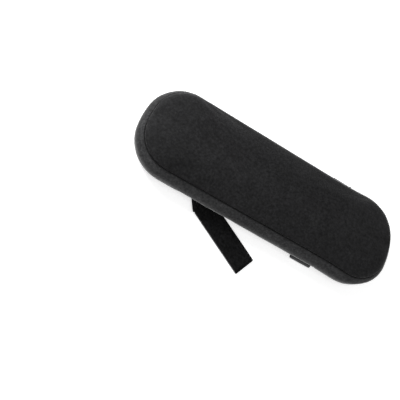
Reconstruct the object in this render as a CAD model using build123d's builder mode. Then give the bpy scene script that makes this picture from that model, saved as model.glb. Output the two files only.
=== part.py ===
from build123d import *
import os
from math import cos, radians, sin

os.makedirs("parts", exist_ok=True)

# Chair armrest pad: a boxed foam cushion in a zipped fabric cover, held to an armrest by two webbing straps.
# Millimetres. X runs along the pad, +Y is the side with the buckles and the zip, +Z is up.
# The origin is the middle of the underside, which the pad stands on.

# ---- cushion ----
HALF_LENGTH = 120.5          # seam outline, middle to end
HALF_WIDTH = 37.5            # seam outline, middle to side
END_SAGITTA = 9.0            # how far each end bows out between its corners
CORNER_R = 31.0
SEAM_Z = 24.0                # height of the seam round the top panel
CROWN_Z = 33.0
COVER_T = 1.2                # velour with its backing
BASE_T = 1.0                 # non-slip underside fabric, and its lining of the strap hollows
SEAM_T = 0.8                 # height of a sewn seam ring
SEAM_W = 1.4                 # how far a seam allowance turns inward
SEAM_LAP = 0.3               # how far the top seam stands out past the seam line

# side profiles: height, and how far the surface stands out from the seam outline
GUSSET = [(0.0, -1.5), (4.0, 1.9), (11.0, 4.3), (17.0, 3.6), (SEAM_Z - SEAM_T / 2, 0.0)]
CROWN = [(SEAM_Z + SEAM_T / 2, -0.2), (27.2, -2.6), (30.2, -8.0), (32.3, -17.0), (CROWN_Z, -26.0)]
BASE_INSET = COVER_T - GUSSET[0][1] + SEAM_W

# ---- webbing and buckles, pressed into the underside ----
WEB_W = 20.0
WEB_T = 1.0
FREE_LENGTH = 184.0          # webbing from the buckle's centre bar to its tip
LOW_Z = 0.25                 # underside of each webbing layer, lowest first
MID_Z = 1.45
TOP_Z = 4.5
SIDE_GAP = 2.0               # hollow's wall to the webbing beside it
BUCKLE_GAP = 1.0             # pocket's wall to the buckle
ROOT_GAP = 0.3               # pocket's wall to the sewn root of the loop
ROOF_GAP = 0.5               # hollow's roof to the layer under it
SEWN_PAST = 4.0              # the doubled webbing runs on this far past the buckle

ROOT_Y = 34.4                # where a buckle's webbing loop is sewn into the base seam
BAR_Z = 4.9                  # middle of the end bar and the centre bar
END_BAR_Y = 28.0
END_BAR_R = 1.0
LOOP_R = 1.25                # inside of the webbing loop round the end bar
CENTRE_BAR_Y = 15.0
CENTRE_BAR = (6.0, 1.6)
GRIP_BAR_Y = 2.5
GRIP_BAR = (3.6, 1.2)
RAIL_H = 3.6
RAIL_W = 2.3
RAIL_GAP = 0.8               # webbing's edge to a rail
RAIL_X = WEB_W / 2 + RAIL_GAP
RAIL_CHAMFER = 0.5
BAR_ROUNDING = 0.5
GRIP_ROUNDING = 0.4
BUCKLE_END_Y = GRIP_BAR_Y - GRIP_BAR[0] / 2
BUCKLE_POCKET_Z = 7.6
WRAP_PLAY = 0.2              # webbing's inner face to the centre bar
WRAP_R = 1.5                 # outer corners of the webbing round the centre bar
SLOPE_FROM = 1.0             # the webbing starts to slope this far past its turn
SLOPE_TO = 1.2               # and is level again this far before the grip bar

# where each strap turns: the left tail leaves the near edge slanting,
# and the right strap doubles back under the pad
LEFT_FOLD = (-60.0, -30.6)
LEFT_TAIL_ANGLE = -29.2
LEFT_MIDDLE = 78.0
RIGHT_X = 54.0
RIGHT_FOLD = (RIGHT_X, -40.5)
RIGHT_TAIL_ANGLE = 90.0
RIGHT_MIDDLE = 67.0
HOOK_PATCH = (40.0, 17.0, 0.35)
PATCH_FROM_TIP = 2.0
CHANNEL_LENGTH = 60.0         # hollow over each root, from the middle line past the near edge
TAIL_BAND = 80.0             # hollow over the slanting tail
BELOW = 5.0                  # cuts start this far under the pad
PAST_CREASE = 40.0           # webbing is drawn this far past its crease, then cut at it

# ---- zip along the +Y side ----
ZIP_HALF = 80.0
ZIP_Z = 12.0
TAPE_W = 4.6
COIL_W = 1.6
COIL_PROUD = 0.9
COIL_T = 2.0
COIL_HALF = ZIP_HALF - 2.0    # a stop fills the rest of each end
SLIDER = (8.0, 5.2)          # length and height of the slider's plate
SLIDER_GAP = 0.3
SLIDER_R = 1.6
SLIDER_REST = 0.5            # closed slider's end to the end of the coil
PULL = (20.0, 3.4, 1.0)       # length, width and thickness
PULL_R = 1.2
PULL_PAST_PIN = 1.0          # how far the pull's plate runs on past its pin
PULL_EYE_R = 1.1
PIN_R = 0.6
PIN_PLAY = 0.05
PIN_RISE = 1.3               # pin's height over the slider's plate
BRIDGE = (1.8, 0.8)          # length and thickness of each lug that holds the pin
COIL_PLAY = 0.1              # gap between the coil and the tapes, in all


def outline(grow):
    """Plan outline of the pad, grown or shrunk from the seam line."""
    straight = HALF_LENGTH - END_SAGITTA
    with BuildSketch(mode=Mode.PRIVATE) as plan:
        with BuildLine():
            Line((-straight, -HALF_WIDTH), (straight, -HALF_WIDTH))
            ThreePointArc((straight, -HALF_WIDTH), (HALF_LENGTH, 0), (straight, HALF_WIDTH))
            Line((straight, HALF_WIDTH), (-straight, HALF_WIDTH))
            ThreePointArc((-straight, HALF_WIDTH), (-HALF_LENGTH, 0), (-straight, -HALF_WIDTH))
        make_face()
        fillet(plan.vertices(), CORNER_R)
        if grow:
            offset(amount=grow, kind=Kind.ARC, mode=Mode.REPLACE)
    return plan.sketch


def stack(levels, inset=0.0, drop=0.0):
    """Smooth solid through the pad's outline at each level, optionally set in by a wall thickness."""
    with BuildPart(mode=Mode.PRIVATE) as body:
        for height, grow in levels:
            with BuildSketch(Plane.XY.offset(height - drop)):
                add(outline(grow - inset))
        loft()
    return body.part


def ring(low, outer, inner):
    """Sewn seam ring between two outlines."""
    with BuildPart(mode=Mode.PRIVATE) as band:
        with BuildSketch(Plane.XY.offset(low)):
            add(outline(outer))
            add(outline(inner), mode=Mode.SUBTRACT)
        extrude(amount=SEAM_T)
    return band.part


def along(fold, angle, height=0.0):
    """Plane on a fold, with X running along the webbing that leaves it."""
    turn = radians(angle)
    return Plane((fold[0], fold[1], height), x_dir=(cos(turn), sin(turn), 0), z_dir=(0, 0, 1))


def crease(fold, angle):
    """Upright plane through a fold in webbing that arrives along -Y, facing away from the webbing."""
    turn = radians((angle - 90) / 2)
    return Plane((fold[0], fold[1], 0), x_dir=(cos(turn), sin(turn), 0), z_dir=(sin(turn), -cos(turn), 0))


def hollows(grow):
    """What the straps and buckles press out of the underside, grown by a lining thickness."""
    half = WEB_W / 2 + SIDE_GAP + grow
    buckle_half = RAIL_X + RAIL_W + BUCKLE_GAP + grow
    pocket_near = BUCKLE_END_Y - SEWN_PAST - BUCKLE_GAP - grow
    pocket_far = ROOT_Y + WEB_T + ROOT_GAP + grow
    with BuildPart(mode=Mode.PRIVATE) as hollow:
        for x in (LEFT_FOLD[0], RIGHT_X):
            with BuildSketch(Plane.XY.offset(-BELOW)):
                with Locations((x, -CHANNEL_LENGTH / 2)):
                    Rectangle(2 * half, CHANNEL_LENGTH)
            extrude(amount=BELOW + TOP_Z + WEB_T + ROOF_GAP + grow)
            with BuildSketch(Plane.XY.offset(-BELOW)):
                with Locations((x, (pocket_near + pocket_far) / 2)):
                    Rectangle(2 * buckle_half, pocket_far - pocket_near)
            extrude(amount=BELOW + BUCKLE_POCKET_Z + grow)
        with BuildSketch(along(LEFT_FOLD, LEFT_TAIL_ANGLE, -BELOW)):
            with Locations((TAIL_BAND / 2, 0)):
                Rectangle(TAIL_BAND, 2 * half)
        extrude(amount=BELOW + MID_Z + WEB_T + ROOF_GAP + grow)
    return hollow.part


def web_strip(fold, angle, start, length, height):
    """Flat run of webbing from start to start + length along its plane."""
    with BuildPart(mode=Mode.PRIVATE) as strip:
        with BuildSketch(along(fold, angle, height)):
            with Locations((start + length / 2, 0)):
                Rectangle(length, WEB_W)
        extrude(amount=WEB_T)
    return strip.part


def save(piece, name):
    piece.part.label = name
    export_step(piece.part, f"parts/{name}.step")


# ---- cushion and cover ----
hollow = hollows(0)
lined_hollow = hollows(BASE_T)
gusset_outer = stack(GUSSET)
gusset_inner = stack(GUSSET, COVER_T)
crown_outer = stack(CROWN)
crown_inner = stack(CROWN, COVER_T, COVER_T)
top_ring = ring(SEAM_Z - SEAM_T / 2, SEAM_LAP, -COVER_T - SEAM_W)

with BuildPart() as foam_core:
    add(gusset_inner)
    add(crown_inner)
    add(top_ring, mode=Mode.SUBTRACT)
    with BuildSketch():
        add(outline(0))
    extrude(amount=BASE_T, mode=Mode.SUBTRACT)
    add(lined_hollow, mode=Mode.SUBTRACT)
save(foam_core, "foam_core")

with BuildPart() as top_panel:
    add(crown_outer)
    add(crown_inner, mode=Mode.SUBTRACT)
save(top_panel, "top_panel")

with BuildPart() as top_seam:
    add(top_ring)
save(top_seam, "top_seam")

ZIP_CUT_Y = HALF_WIDTH - 5.0         # the zip's cut starts inside the gusset and ends outside it
ZIP_CUT_DEPTH = 15.0
with BuildPart() as zip_slot:
    with BuildSketch(Plane.XZ.offset(-ZIP_CUT_Y)):
        with Locations((0, ZIP_Z)):
            Rectangle(2 * ZIP_HALF, 2 * TAPE_W + COIL_W)
    extrude(amount=-ZIP_CUT_DEPTH)

with BuildPart() as side_gusset:
    add(gusset_outer)
    add(gusset_inner, mode=Mode.SUBTRACT)
    add(lined_hollow, mode=Mode.SUBTRACT)
    add(zip_slot.part, mode=Mode.SUBTRACT)
save(side_gusset, "side_gusset")

with BuildPart() as base_panel:
    add(lined_hollow)
    add(gusset_outer, mode=Mode.INTERSECT)
    with BuildSketch():
        add(outline(-BASE_INSET))
    extrude(amount=BASE_T)
    add(hollow, mode=Mode.SUBTRACT)
save(base_panel, "base_panel")

with BuildPart() as base_seam:
    add(ring(0, SEAM_W - BASE_INSET, -BASE_INSET))
    add(lined_hollow, mode=Mode.SUBTRACT)
save(base_seam, "base_seam")


# ---- zip ----
for name, edge in (("zip_tape_upper", ZIP_Z + COIL_W / 2), ("zip_tape_lower", ZIP_Z - COIL_W / 2 - TAPE_W)):
    with BuildPart() as zip_tape:
        add(gusset_outer)
        add(gusset_inner, mode=Mode.SUBTRACT)
        with BuildSketch(Plane.XZ.offset(-ZIP_CUT_Y)):
            with Locations((0, edge + TAPE_W / 2)):
                Rectangle(2 * ZIP_HALF, TAPE_W)
        extrude(amount=-ZIP_CUT_DEPTH, mode=Mode.INTERSECT)
    save(zip_tape, name)

SIDE_Y = HALF_WIDTH + GUSSET[2][1]          # the cushion's widest point, which the zip lies on
COIL_Y = SIDE_Y + COIL_PROUD
STOP_PROUD = 0.4                            # how far a stop stands out past the coil
with BuildPart() as zip_coil:
    with BuildSketch(Plane.YZ):
        with Locations((COIL_Y - COIL_T / 2, ZIP_Z)):
            Rectangle(COIL_T, COIL_W - COIL_PLAY)
    extrude(amount=COIL_HALF, both=True)
save(zip_coil, "zip_coil")

with BuildPart() as zip_stops:
    with BuildSketch(Plane.YZ):
        with Locations((COIL_Y - COIL_T / 2 + STOP_PROUD / 2, ZIP_Z)):
            Rectangle(COIL_T + STOP_PROUD, COIL_W - COIL_PLAY)
    extrude(amount=ZIP_HALF, both=True)
    with BuildSketch(Plane.YZ):
        with Locations((COIL_Y, ZIP_Z)):
            Rectangle(4 * COIL_T, COIL_W)
    extrude(amount=COIL_HALF, both=True, mode=Mode.SUBTRACT)
save(zip_stops, "zip_stops")

SLIDER_X = COIL_HALF - SLIDER[0] / 2 - SLIDER_REST
SLIDER_Y = SIDE_Y + SLIDER_GAP
SLIDER_ROOF = 1.0
SLIDER_TOP = COIL_Y + SLIDER_GAP + SLIDER_ROOF
PIN_Y = SLIDER_TOP + PIN_RISE
LUG_Z = SLIDER[1] / 2 - BRIDGE[1] / 2       # middle of each lug, from the zip's line
with BuildPart() as zip_slider:
    with BuildSketch(Plane.XZ.offset(-SLIDER_Y)):
        with Locations((SLIDER_X, ZIP_Z)):
            RectangleRounded(SLIDER[0], SLIDER[1], SLIDER_R)
    extrude(amount=SLIDER_Y - SLIDER_TOP)
    with Locations((SLIDER_X, COIL_Y / 2 + SLIDER_GAP / 2, ZIP_Z)):
        Box(2 * SLIDER[0], COIL_Y + SLIDER_GAP, COIL_W + 2 * SLIDER_GAP, mode=Mode.SUBTRACT)
    for side in (-1, 1):
        with BuildSketch(Plane.XY.offset(ZIP_Z + side * LUG_Z - BRIDGE[1] / 2)):
            with Locations((SLIDER_X, (SLIDER_TOP + PIN_Y) / 2)):
                Rectangle(BRIDGE[0], PIN_Y - SLIDER_TOP + PIN_R)
        extrude(amount=BRIDGE[1])
    with Locations((SLIDER_X, PIN_Y, ZIP_Z)):
        Cylinder(PIN_R, 2 * LUG_Z)
save(zip_slider, "zip_slider")

with BuildPart() as zip_pull:
    with BuildSketch(Plane.XZ.offset(-PIN_Y + PULL[2] / 2)):
        with Locations((SLIDER_X - PULL[0] / 2 + PULL_PAST_PIN, ZIP_Z)):
            RectangleRounded(PULL[0], PULL[1], PULL_R)
    extrude(amount=-PULL[2])
    with Locations((SLIDER_X, PIN_Y, ZIP_Z)):
        Cylinder(PULL_EYE_R, PULL[1])
        Cylinder(PIN_R + PIN_PLAY, 2 * PULL[1], mode=Mode.SUBTRACT)
save(zip_pull, "zip_pull")


# ---- straps ----
def buckle_loop(x):
    """Doubled webbing from the base seam round the buckle's end bar."""
    with BuildPart(mode=Mode.PRIVATE) as loop:
        with BuildSketch(Plane.YZ.offset(x)):
            with Locations((END_BAR_Y, BAR_Z)):
                Circle(LOOP_R + WEB_T)
            with Locations((ROOT_Y, BAR_Z)):
                Circle(WEB_T)
            with Locations(((ROOT_Y + END_BAR_Y) / 2, BAR_Z)):
                Rectangle(ROOT_Y - END_BAR_Y, 2 * WEB_T)
            with Locations((END_BAR_Y, BAR_Z)):
                Circle(LOOP_R, mode=Mode.SUBTRACT)
        extrude(amount=WEB_W / 2, both=True)
    return loop.part


def buckle(x):
    """Three-bar slide buckle: end bar, centre bar, and a grip bar on the outer side of the webbing."""
    rail_length = END_BAR_Y - BUCKLE_END_Y
    with BuildPart(mode=Mode.PRIVATE) as frame:
        for side in (-1, 1):
            with BuildSketch(Plane.YZ.offset(x + side * (RAIL_X + RAIL_W / 2))):
                with Locations((END_BAR_Y, BAR_Z)):
                    Circle(RAIL_H / 2)
                with Locations((END_BAR_Y - rail_length / 2, BAR_Z)):
                    Rectangle(rail_length, RAIL_H)
            extrude(amount=RAIL_W / 2, both=True)
        chamfer(frame.edges().group_by(Axis.Z)[0], RAIL_CHAMFER)
        with BuildSketch(Plane.YZ.offset(x)):
            with Locations((END_BAR_Y, BAR_Z)):
                Circle(END_BAR_R)
            with Locations((CENTRE_BAR_Y, BAR_Z)):
                RectangleRounded(CENTRE_BAR[0], CENTRE_BAR[1], BAR_ROUNDING)
            with Locations((GRIP_BAR_Y, BAR_Z - RAIL_H / 2 + GRIP_BAR[1] / 2)):
                RectangleRounded(GRIP_BAR[0], GRIP_BAR[1], GRIP_ROUNDING)
        extrude(amount=RAIL_X + RAIL_W / 2, both=True)
    return frame.part


def strap_root(x, fold, angle):
    """Webbing sewn round the centre bar, over the grip bar and on to the fold."""
    wrap_z = CENTRE_BAR[1] / 2 + WRAP_PLAY
    wrap_y = CENTRE_BAR[0] / 2 + WRAP_PLAY
    rise_from = CENTRE_BAR_Y - wrap_y - SLOPE_FROM
    rise_to = GRIP_BAR_Y + GRIP_BAR[0] / 2 + SLOPE_TO
    low = BAR_Z - wrap_z - WEB_T
    high = BAR_Z + wrap_z
    sewn_end = BUCKLE_END_Y - SEWN_PAST
    past_crease = fold[1] - PAST_CREASE
    with BuildPart(mode=Mode.PRIVATE) as strap:
        with BuildSketch(Plane.YZ.offset(x)):
            with Locations((CENTRE_BAR_Y, BAR_Z)):
                RectangleRounded(2 * (wrap_y + WEB_T), 2 * (wrap_z + WEB_T), WRAP_R)
            with Locations((CENTRE_BAR_Y - wrap_y, BAR_Z)):
                Rectangle(4 * wrap_y, 2 * wrap_z, mode=Mode.SUBTRACT)
            with BuildLine():
                Polyline(
                    (CENTRE_BAR_Y, low),
                    (rise_from, low),
                    (rise_to, TOP_Z),
                    (past_crease, TOP_Z),
                    (past_crease, TOP_Z + WEB_T),
                    (rise_to, TOP_Z + WEB_T),
                    (rise_from, low + WEB_T),
                    (CENTRE_BAR_Y, low + WEB_T),
                    close=True,
                )
            make_face()
            with BuildLine():
                Polyline(
                    (CENTRE_BAR_Y, high),
                    (rise_from, high),
                    (rise_to, TOP_Z + WEB_T),
                    (sewn_end, TOP_Z + WEB_T),
                    (sewn_end, TOP_Z + 2 * WEB_T),
                    (rise_to, TOP_Z + 2 * WEB_T),
                    (rise_from, high + WEB_T),
                    (CENTRE_BAR_Y, high + WEB_T),
                    close=True,
                )
            make_face()
        extrude(amount=WEB_W / 2, both=True)
        split(bisect_by=crease(fold, angle), keep=Keep.BOTTOM)
    return strap.part


STRAPS = {
    "left": (LEFT_FOLD, LEFT_TAIL_ANGLE, LEFT_MIDDLE),
    "right": (RIGHT_FOLD, RIGHT_TAIL_ANGLE, RIGHT_MIDDLE),
}
for side, (fold, angle, middle_length) in STRAPS.items():
    end_length = FREE_LENGTH - (CENTRE_BAR_Y - fold[1]) - middle_length

    with BuildPart() as loop:
        add(buckle_loop(fold[0]))
    save(loop, f"{side}_buckle_loop")

    with BuildPart() as slide:
        add(buckle(fold[0]))
    save(slide, f"{side}_buckle")

    with BuildPart() as root:
        add(strap_root(fold[0], fold, angle))
    save(root, f"{side}_strap_root")

    with BuildPart() as middle:
        add(web_strip(fold, angle, -PAST_CREASE, PAST_CREASE + middle_length, MID_Z))
        split(bisect_by=crease(fold, angle), keep=Keep.BOTTOM)
    save(middle, f"{side}_strap_middle")

    patch_plane = along(fold, angle, LOW_Z)
    patch_x = middle_length - end_length + HOOK_PATCH[0] / 2 + PATCH_FROM_TIP
    with BuildPart() as patch:
        with BuildSketch(patch_plane):
            with Locations((patch_x, 0)):
                Rectangle(HOOK_PATCH[0], HOOK_PATCH[1])
        extrude(amount=HOOK_PATCH[2])
    save(patch, f"{side}_hook_patch")

    with BuildPart() as tip:
        add(web_strip(fold, angle, middle_length - end_length, end_length, LOW_Z))
        add(patch.part, mode=Mode.SUBTRACT)
    save(tip, f"{side}_strap_end")
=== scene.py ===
import math

import bmesh
import bpy
import numpy as np
from mathutils import Matrix, Vector, noise


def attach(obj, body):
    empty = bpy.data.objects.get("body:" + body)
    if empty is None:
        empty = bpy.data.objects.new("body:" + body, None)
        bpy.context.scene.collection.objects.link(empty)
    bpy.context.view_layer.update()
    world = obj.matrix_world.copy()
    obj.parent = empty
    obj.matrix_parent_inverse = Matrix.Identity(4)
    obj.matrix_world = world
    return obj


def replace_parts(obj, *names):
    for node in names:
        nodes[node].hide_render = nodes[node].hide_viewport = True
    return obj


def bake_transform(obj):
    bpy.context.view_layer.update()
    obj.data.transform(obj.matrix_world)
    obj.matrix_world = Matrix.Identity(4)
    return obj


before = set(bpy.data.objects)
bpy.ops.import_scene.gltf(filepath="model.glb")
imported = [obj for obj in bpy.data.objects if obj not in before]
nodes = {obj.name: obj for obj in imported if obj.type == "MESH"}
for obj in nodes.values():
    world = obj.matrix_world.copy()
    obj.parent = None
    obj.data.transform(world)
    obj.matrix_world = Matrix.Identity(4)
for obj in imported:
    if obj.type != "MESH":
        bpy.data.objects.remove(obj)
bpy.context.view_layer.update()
scene = bpy.context.scene

MM = 0.001

# ---- camera ----
AZIMUTH, ELEVATION, ROLL = math.radians(-24.3), math.radians(65.3), math.radians(51.5)
TARGET = Vector((-0.0497, -0.0349, 0.0))
DISTANCE = 0.3485
LENS = 36.88

back = Vector(
    (
        math.sin(AZIMUTH) * math.cos(ELEVATION),
        -math.cos(AZIMUTH) * math.cos(ELEVATION),
        math.sin(ELEVATION),
    )
)
level_right = Vector((0, 0, 1)).cross(back).normalized()
level_up = back.cross(level_right)
right = level_right * math.cos(ROLL) + level_up * math.sin(ROLL)
up = level_up * math.cos(ROLL) - level_right * math.sin(ROLL)
camera_data = bpy.data.cameras.new("camera")
camera_data.lens = LENS
camera_data.sensor_width = 36.0
camera_data.clip_start = 0.01
camera = bpy.data.objects.new("camera", camera_data)
scene.collection.objects.link(camera)
turned = Matrix((right, up, back)).transposed().to_4x4()
camera.matrix_world = Matrix.Translation(TARGET + back * DISTANCE) @ turned
scene.camera = camera
scene.view_settings.view_transform = "Standard"

# ---- materials ----
# the range that most of a noise texture's values fall in
NOISE_LOW, NOISE_HIGH = 0.3, 0.7
# thread spacings: the webbing's weft in the millimetres of its UV, and the knit's wales and courses in metres
PICK, WALE, COURSE = 0.8, 0.0011, 0.0009


def graph(name):
    """New material with its node tree and Principled shader."""
    mat = bpy.data.materials.new(name)
    mat.use_nodes = True
    return mat, mat.node_tree, mat.node_tree.nodes["Principled BSDF"]


def node(tree, kind, **values):
    """Node with its properties and unlinked inputs set."""
    made = tree.nodes.new(kind)
    for key, value in values.items():
        name = key.replace("_", " ")
        if name in made.inputs:
            made.inputs[name].default_value = value
        else:
            setattr(made, key, value)
    return made


def object_coords(tree):
    return node(tree, "ShaderNodeTexCoord").outputs["Object"]


def noise_tex(tree, coords, scale, detail=3.0, rough=0.55):
    tex = node(tree, "ShaderNodeTexNoise", Scale=scale, Detail=detail, Roughness=rough)
    tree.links.new(coords, tex.inputs["Vector"])
    return tex.outputs["Fac"]


def spread(tree, value, low, high, out_low, out_high):
    """Maps a value's range on to another range."""
    made = node(tree, "ShaderNodeMapRange")
    for key, number in (("From Min", low), ("From Max", high), ("To Min", out_low), ("To Max", out_high)):
        made.inputs[key].default_value = number
    tree.links.new(value, made.inputs["Value"])
    return made.outputs["Result"]


def vary(tree, value, out_low, out_high):
    """Maps a noise texture's usual values on to another range."""
    return spread(tree, value, NOISE_LOW, NOISE_HIGH, out_low, out_high)


def maths(tree, operation, a, b=0.0):
    made = node(tree, "ShaderNodeMath", operation=operation)
    for socket, value in zip(made.inputs, (a, b)):
        if isinstance(value, (int, float)):
            socket.default_value = value
        else:
            tree.links.new(value, socket)
    return made.outputs[0]


def wave(tree, value, period):
    """Sine of a coordinate, once round in each period."""
    return maths(tree, "SINE", maths(tree, "MULTIPLY", value, 2 * math.pi / period))


def tinted(tree, colour, factor):
    """A colour made lighter or darker by a factor that varies over the surface."""
    made = node(tree, "ShaderNodeVectorMath", operation="SCALE")
    made.inputs[0].default_value = colour
    tree.links.new(factor, made.inputs["Scale"])
    return made.outputs[0]


def bump(tree, height, strength, distance, under=None):
    made = node(tree, "ShaderNodeBump", Strength=strength, Distance=distance)
    tree.links.new(height, made.inputs["Height"])
    if under is not None:
        tree.links.new(under, made.inputs["Normal"])
    return made.outputs["Normal"]


def velour(name, colour, sheen):
    """Short-pile velour: mottled by the way the pile lies, with a fine grain."""
    mat, tree, shader = graph(name)
    coords = object_coords(tree)
    lay = vary(tree, noise_tex(tree, coords, scale=48, detail=2.0), 0.87, 1.13)
    brushed = vary(tree, noise_tex(tree, coords, scale=260), 0.84, 1.16)
    grain = noise_tex(tree, coords, scale=520, rough=0.7)
    speck = vary(tree, grain, 0.5, 1.5)
    factor = maths(tree, "MULTIPLY", maths(tree, "MULTIPLY", lay, brushed), speck)
    tree.links.new(tinted(tree, colour, factor), shader.inputs["Base Color"])
    pile = noise_tex(tree, coords, scale=2400, detail=2.0, rough=0.6)
    normal = bump(tree, grain, strength=0.35, distance=0.0006)
    tree.links.new(bump(tree, pile, strength=0.25, distance=0.0002, under=normal), shader.inputs["Normal"])
    tree.links.new(vary(tree, grain, 0.86, 0.98), shader.inputs["Roughness"])
    shader.inputs["Specular IOR Level"].default_value = 0.12
    shader.inputs["Sheen Weight"].default_value = sheen
    shader.inputs["Sheen Roughness"].default_value = 0.3
    return mat


def webbing(name, colour, rib):
    """Woven webbing: ribs along it crossed by the weft, from the ribbon's own UV in millimetres."""
    mat, tree, shader = graph(name)
    split = node(tree, "ShaderNodeSeparateXYZ")
    tree.links.new(node(tree, "ShaderNodeTexCoord").outputs["UV"], split.inputs[0])
    across = wave(tree, split.outputs["Y"], rib)
    along = wave(tree, split.outputs["X"], PICK)
    crossed = maths(tree, "MULTIPLY", maths(tree, "MULTIPLY", across, along), 0.4)
    weave = maths(tree, "ADD", maths(tree, "MULTIPLY", across, 0.6), crossed)
    coords = object_coords(tree)
    worn = vary(tree, noise_tex(tree, coords, scale=150), 0.85, 1.15)
    fine = vary(tree, noise_tex(tree, coords, scale=1500, detail=2.0), 0.85, 1.15)
    shade = spread(tree, weave, -1.0, 1.0, 0.72, 1.2)
    factor = maths(tree, "MULTIPLY", maths(tree, "MULTIPLY", worn, shade), fine)
    tree.links.new(tinted(tree, colour, factor), shader.inputs["Base Color"])
    tree.links.new(bump(tree, weave, strength=0.5, distance=0.00018), shader.inputs["Normal"])
    tree.links.new(spread(tree, weave, -1.0, 1.0, 0.75, 0.6), shader.inputs["Roughness"])
    shader.inputs["Specular IOR Level"].default_value = 0.3
    shader.inputs["Sheen Weight"].default_value = 0.08
    return mat


def loop_pile(name, colour):
    """Brushed loops on the inside of the webbing."""
    mat, tree, shader = graph(name)
    coords = object_coords(tree)
    curls = node(tree, "ShaderNodeTexVoronoi", Scale=900.0, Randomness=1.0)
    tree.links.new(coords, curls.inputs["Vector"])
    fuzz = noise_tex(tree, coords, scale=520, detail=4.0, rough=0.75)
    tufts = spread(tree, fuzz, 0.35, 0.68, 0.45, 1.9)
    patches = vary(tree, noise_tex(tree, coords, scale=120, detail=2.0), 0.8, 1.25)
    tree.links.new(tinted(tree, colour, maths(tree, "MULTIPLY", tufts, patches)), shader.inputs["Base Color"])
    normal = bump(tree, fuzz, strength=0.8, distance=0.0008)
    curled = bump(tree, curls.outputs["Distance"], strength=0.5, distance=0.0004, under=normal)
    tree.links.new(curled, shader.inputs["Normal"])
    shader.inputs["Roughness"].default_value = 0.95
    shader.inputs["Specular IOR Level"].default_value = 0.04
    shader.inputs["Sheen Weight"].default_value = 0.01
    return mat


def knit(name, colour):
    """Fine warp knit behind the grip dots."""
    mat, tree, shader = graph(name)
    coords = object_coords(tree)
    split = node(tree, "ShaderNodeSeparateXYZ")
    tree.links.new(coords, split.inputs[0])
    wales, courses = wave(tree, split.outputs["X"], WALE), wave(tree, split.outputs["Y"], COURSE)
    loops = maths(tree, "MULTIPLY", wales, courses)
    patches = vary(tree, noise_tex(tree, coords, scale=70), 0.85, 1.15)
    factor = maths(tree, "MULTIPLY", patches, spread(tree, loops, -1.0, 1.0, 0.7, 1.25))
    tree.links.new(tinted(tree, colour, factor), shader.inputs["Base Color"])
    tree.links.new(bump(tree, loops, strength=0.5, distance=0.0002), shader.inputs["Normal"])
    tree.links.new(spread(tree, loops, -1.0, 1.0, 0.9, 0.75), shader.inputs["Roughness"])
    shader.inputs["Specular IOR Level"].default_value = 0.25
    shader.inputs["Sheen Weight"].default_value = 0.08
    return mat


def solid(name, colour, rough, metallic=0.0, grain_scale=900.0, relief=0.00006, specular=0.5):
    """Plastic, lacquer, thread or foam, with a fine texture and slightly uneven gloss."""
    mat, tree, shader = graph(name)
    coords = object_coords(tree)
    grain = noise_tex(tree, coords, grain_scale)
    patches = noise_tex(tree, coords, scale=130)
    tree.links.new(tinted(tree, colour, vary(tree, patches, 0.88, 1.14)), shader.inputs["Base Color"])
    tree.links.new(vary(tree, patches, rough - 0.07, rough + 0.08), shader.inputs["Roughness"])
    tree.links.new(bump(tree, grain, strength=0.3, distance=relief), shader.inputs["Normal"])
    shader.inputs["Metallic"].default_value = metallic
    shader.inputs["Specular IOR Level"].default_value = specular
    return mat


# Lit and shaded copies of one black velour: the top's colour is painted darker (painted shade) and the
# gussets' more than twice as light (painted light), for how the light falls on them.
SHADED_TOP_VELOUR = velour("velour_top_painted_shade", (0.0128, 0.0128, 0.0133), sheen=0.14)
LIT_SIDE_VELOUR = velour("velour_side_painted_light", (0.0285, 0.0285, 0.0293), sheen=0.66)
KNIT = knit("grip_knit", (0.036, 0.036, 0.038))
DOTS = solid("grip_dots", (0.30, 0.30, 0.31), 0.42, relief=0.00003)
WEB = webbing("webbing", (0.060, 0.060, 0.063), rib=1.1)
PILE = loop_pile("webbing_pile", (0.0071, 0.0071, 0.0073))
TAPE = webbing("zip_tape", (0.020, 0.020, 0.021), rib=1.6)
# Near-black thread for the stitches; the seam rolls take it too, darker than the velour, as painted shade in
# the seams' grooves.
THREAD_AND_SEAM_SHADE = solid("thread", (0.0050, 0.0050, 0.0052), 0.85, grain_scale=2500.0, specular=0.2)
FOAM = solid("foam", (0.74, 0.69, 0.52), 0.9, grain_scale=1400.0, relief=0.0004, specular=0.2)
PLASTIC = solid("buckle_plastic", (0.022, 0.022, 0.023), 0.36)
METAL = solid("zip_metal", (0.030, 0.030, 0.032), 0.34, metallic=0.5)
COIL = solid("zip_coil", (0.012, 0.012, 0.013), 0.45)
HOOKS = solid("hook_tape", (0.030, 0.030, 0.031), 0.5)


# ---- mesh helpers ----
def piece(name, verts, faces, body, materials, face_materials=None, uvs=None, closed=False):
    """Smooth mesh from millimetres, riding on a body. A closed one has its normals turned outward."""
    mesh = bpy.data.meshes.new(name)
    mesh.from_pydata([tuple(c * MM for c in v) for v in verts], [], faces)
    mesh.validate()
    for mat in materials:
        mesh.materials.append(mat)
    if face_materials is not None:
        mesh.polygons.foreach_set("material_index", face_materials)
    if uvs is not None:
        layer = mesh.uv_layers.new(name="UVMap")
        for loop in mesh.loops:
            layer.data[loop.index].uv = uvs[loop.vertex_index]
    if closed:
        whole = bmesh.new()
        whole.from_mesh(mesh)
        bmesh.ops.recalc_face_normals(whole, faces=whole.faces)
        whole.to_mesh(mesh)
        whole.free()
    mesh.shade_smooth()
    made = bpy.data.objects.new(name, mesh)
    scene.collection.objects.link(made)
    if body:
        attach(made, body)
    return made


def ring_faces(rings, around):
    """Quads between closed rings that follow one another."""
    faces = []
    for i in range(rings - 1):
        low = i * around
        for j in range(around):
            k = (j + 1) % around
            faces.append((low + j, low + k, low + around + k, low + around + j))
    return faces


def smooth(t):
    t = np.clip(t, 0, 1)
    return t * t * (3 - 2 * t)


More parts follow.
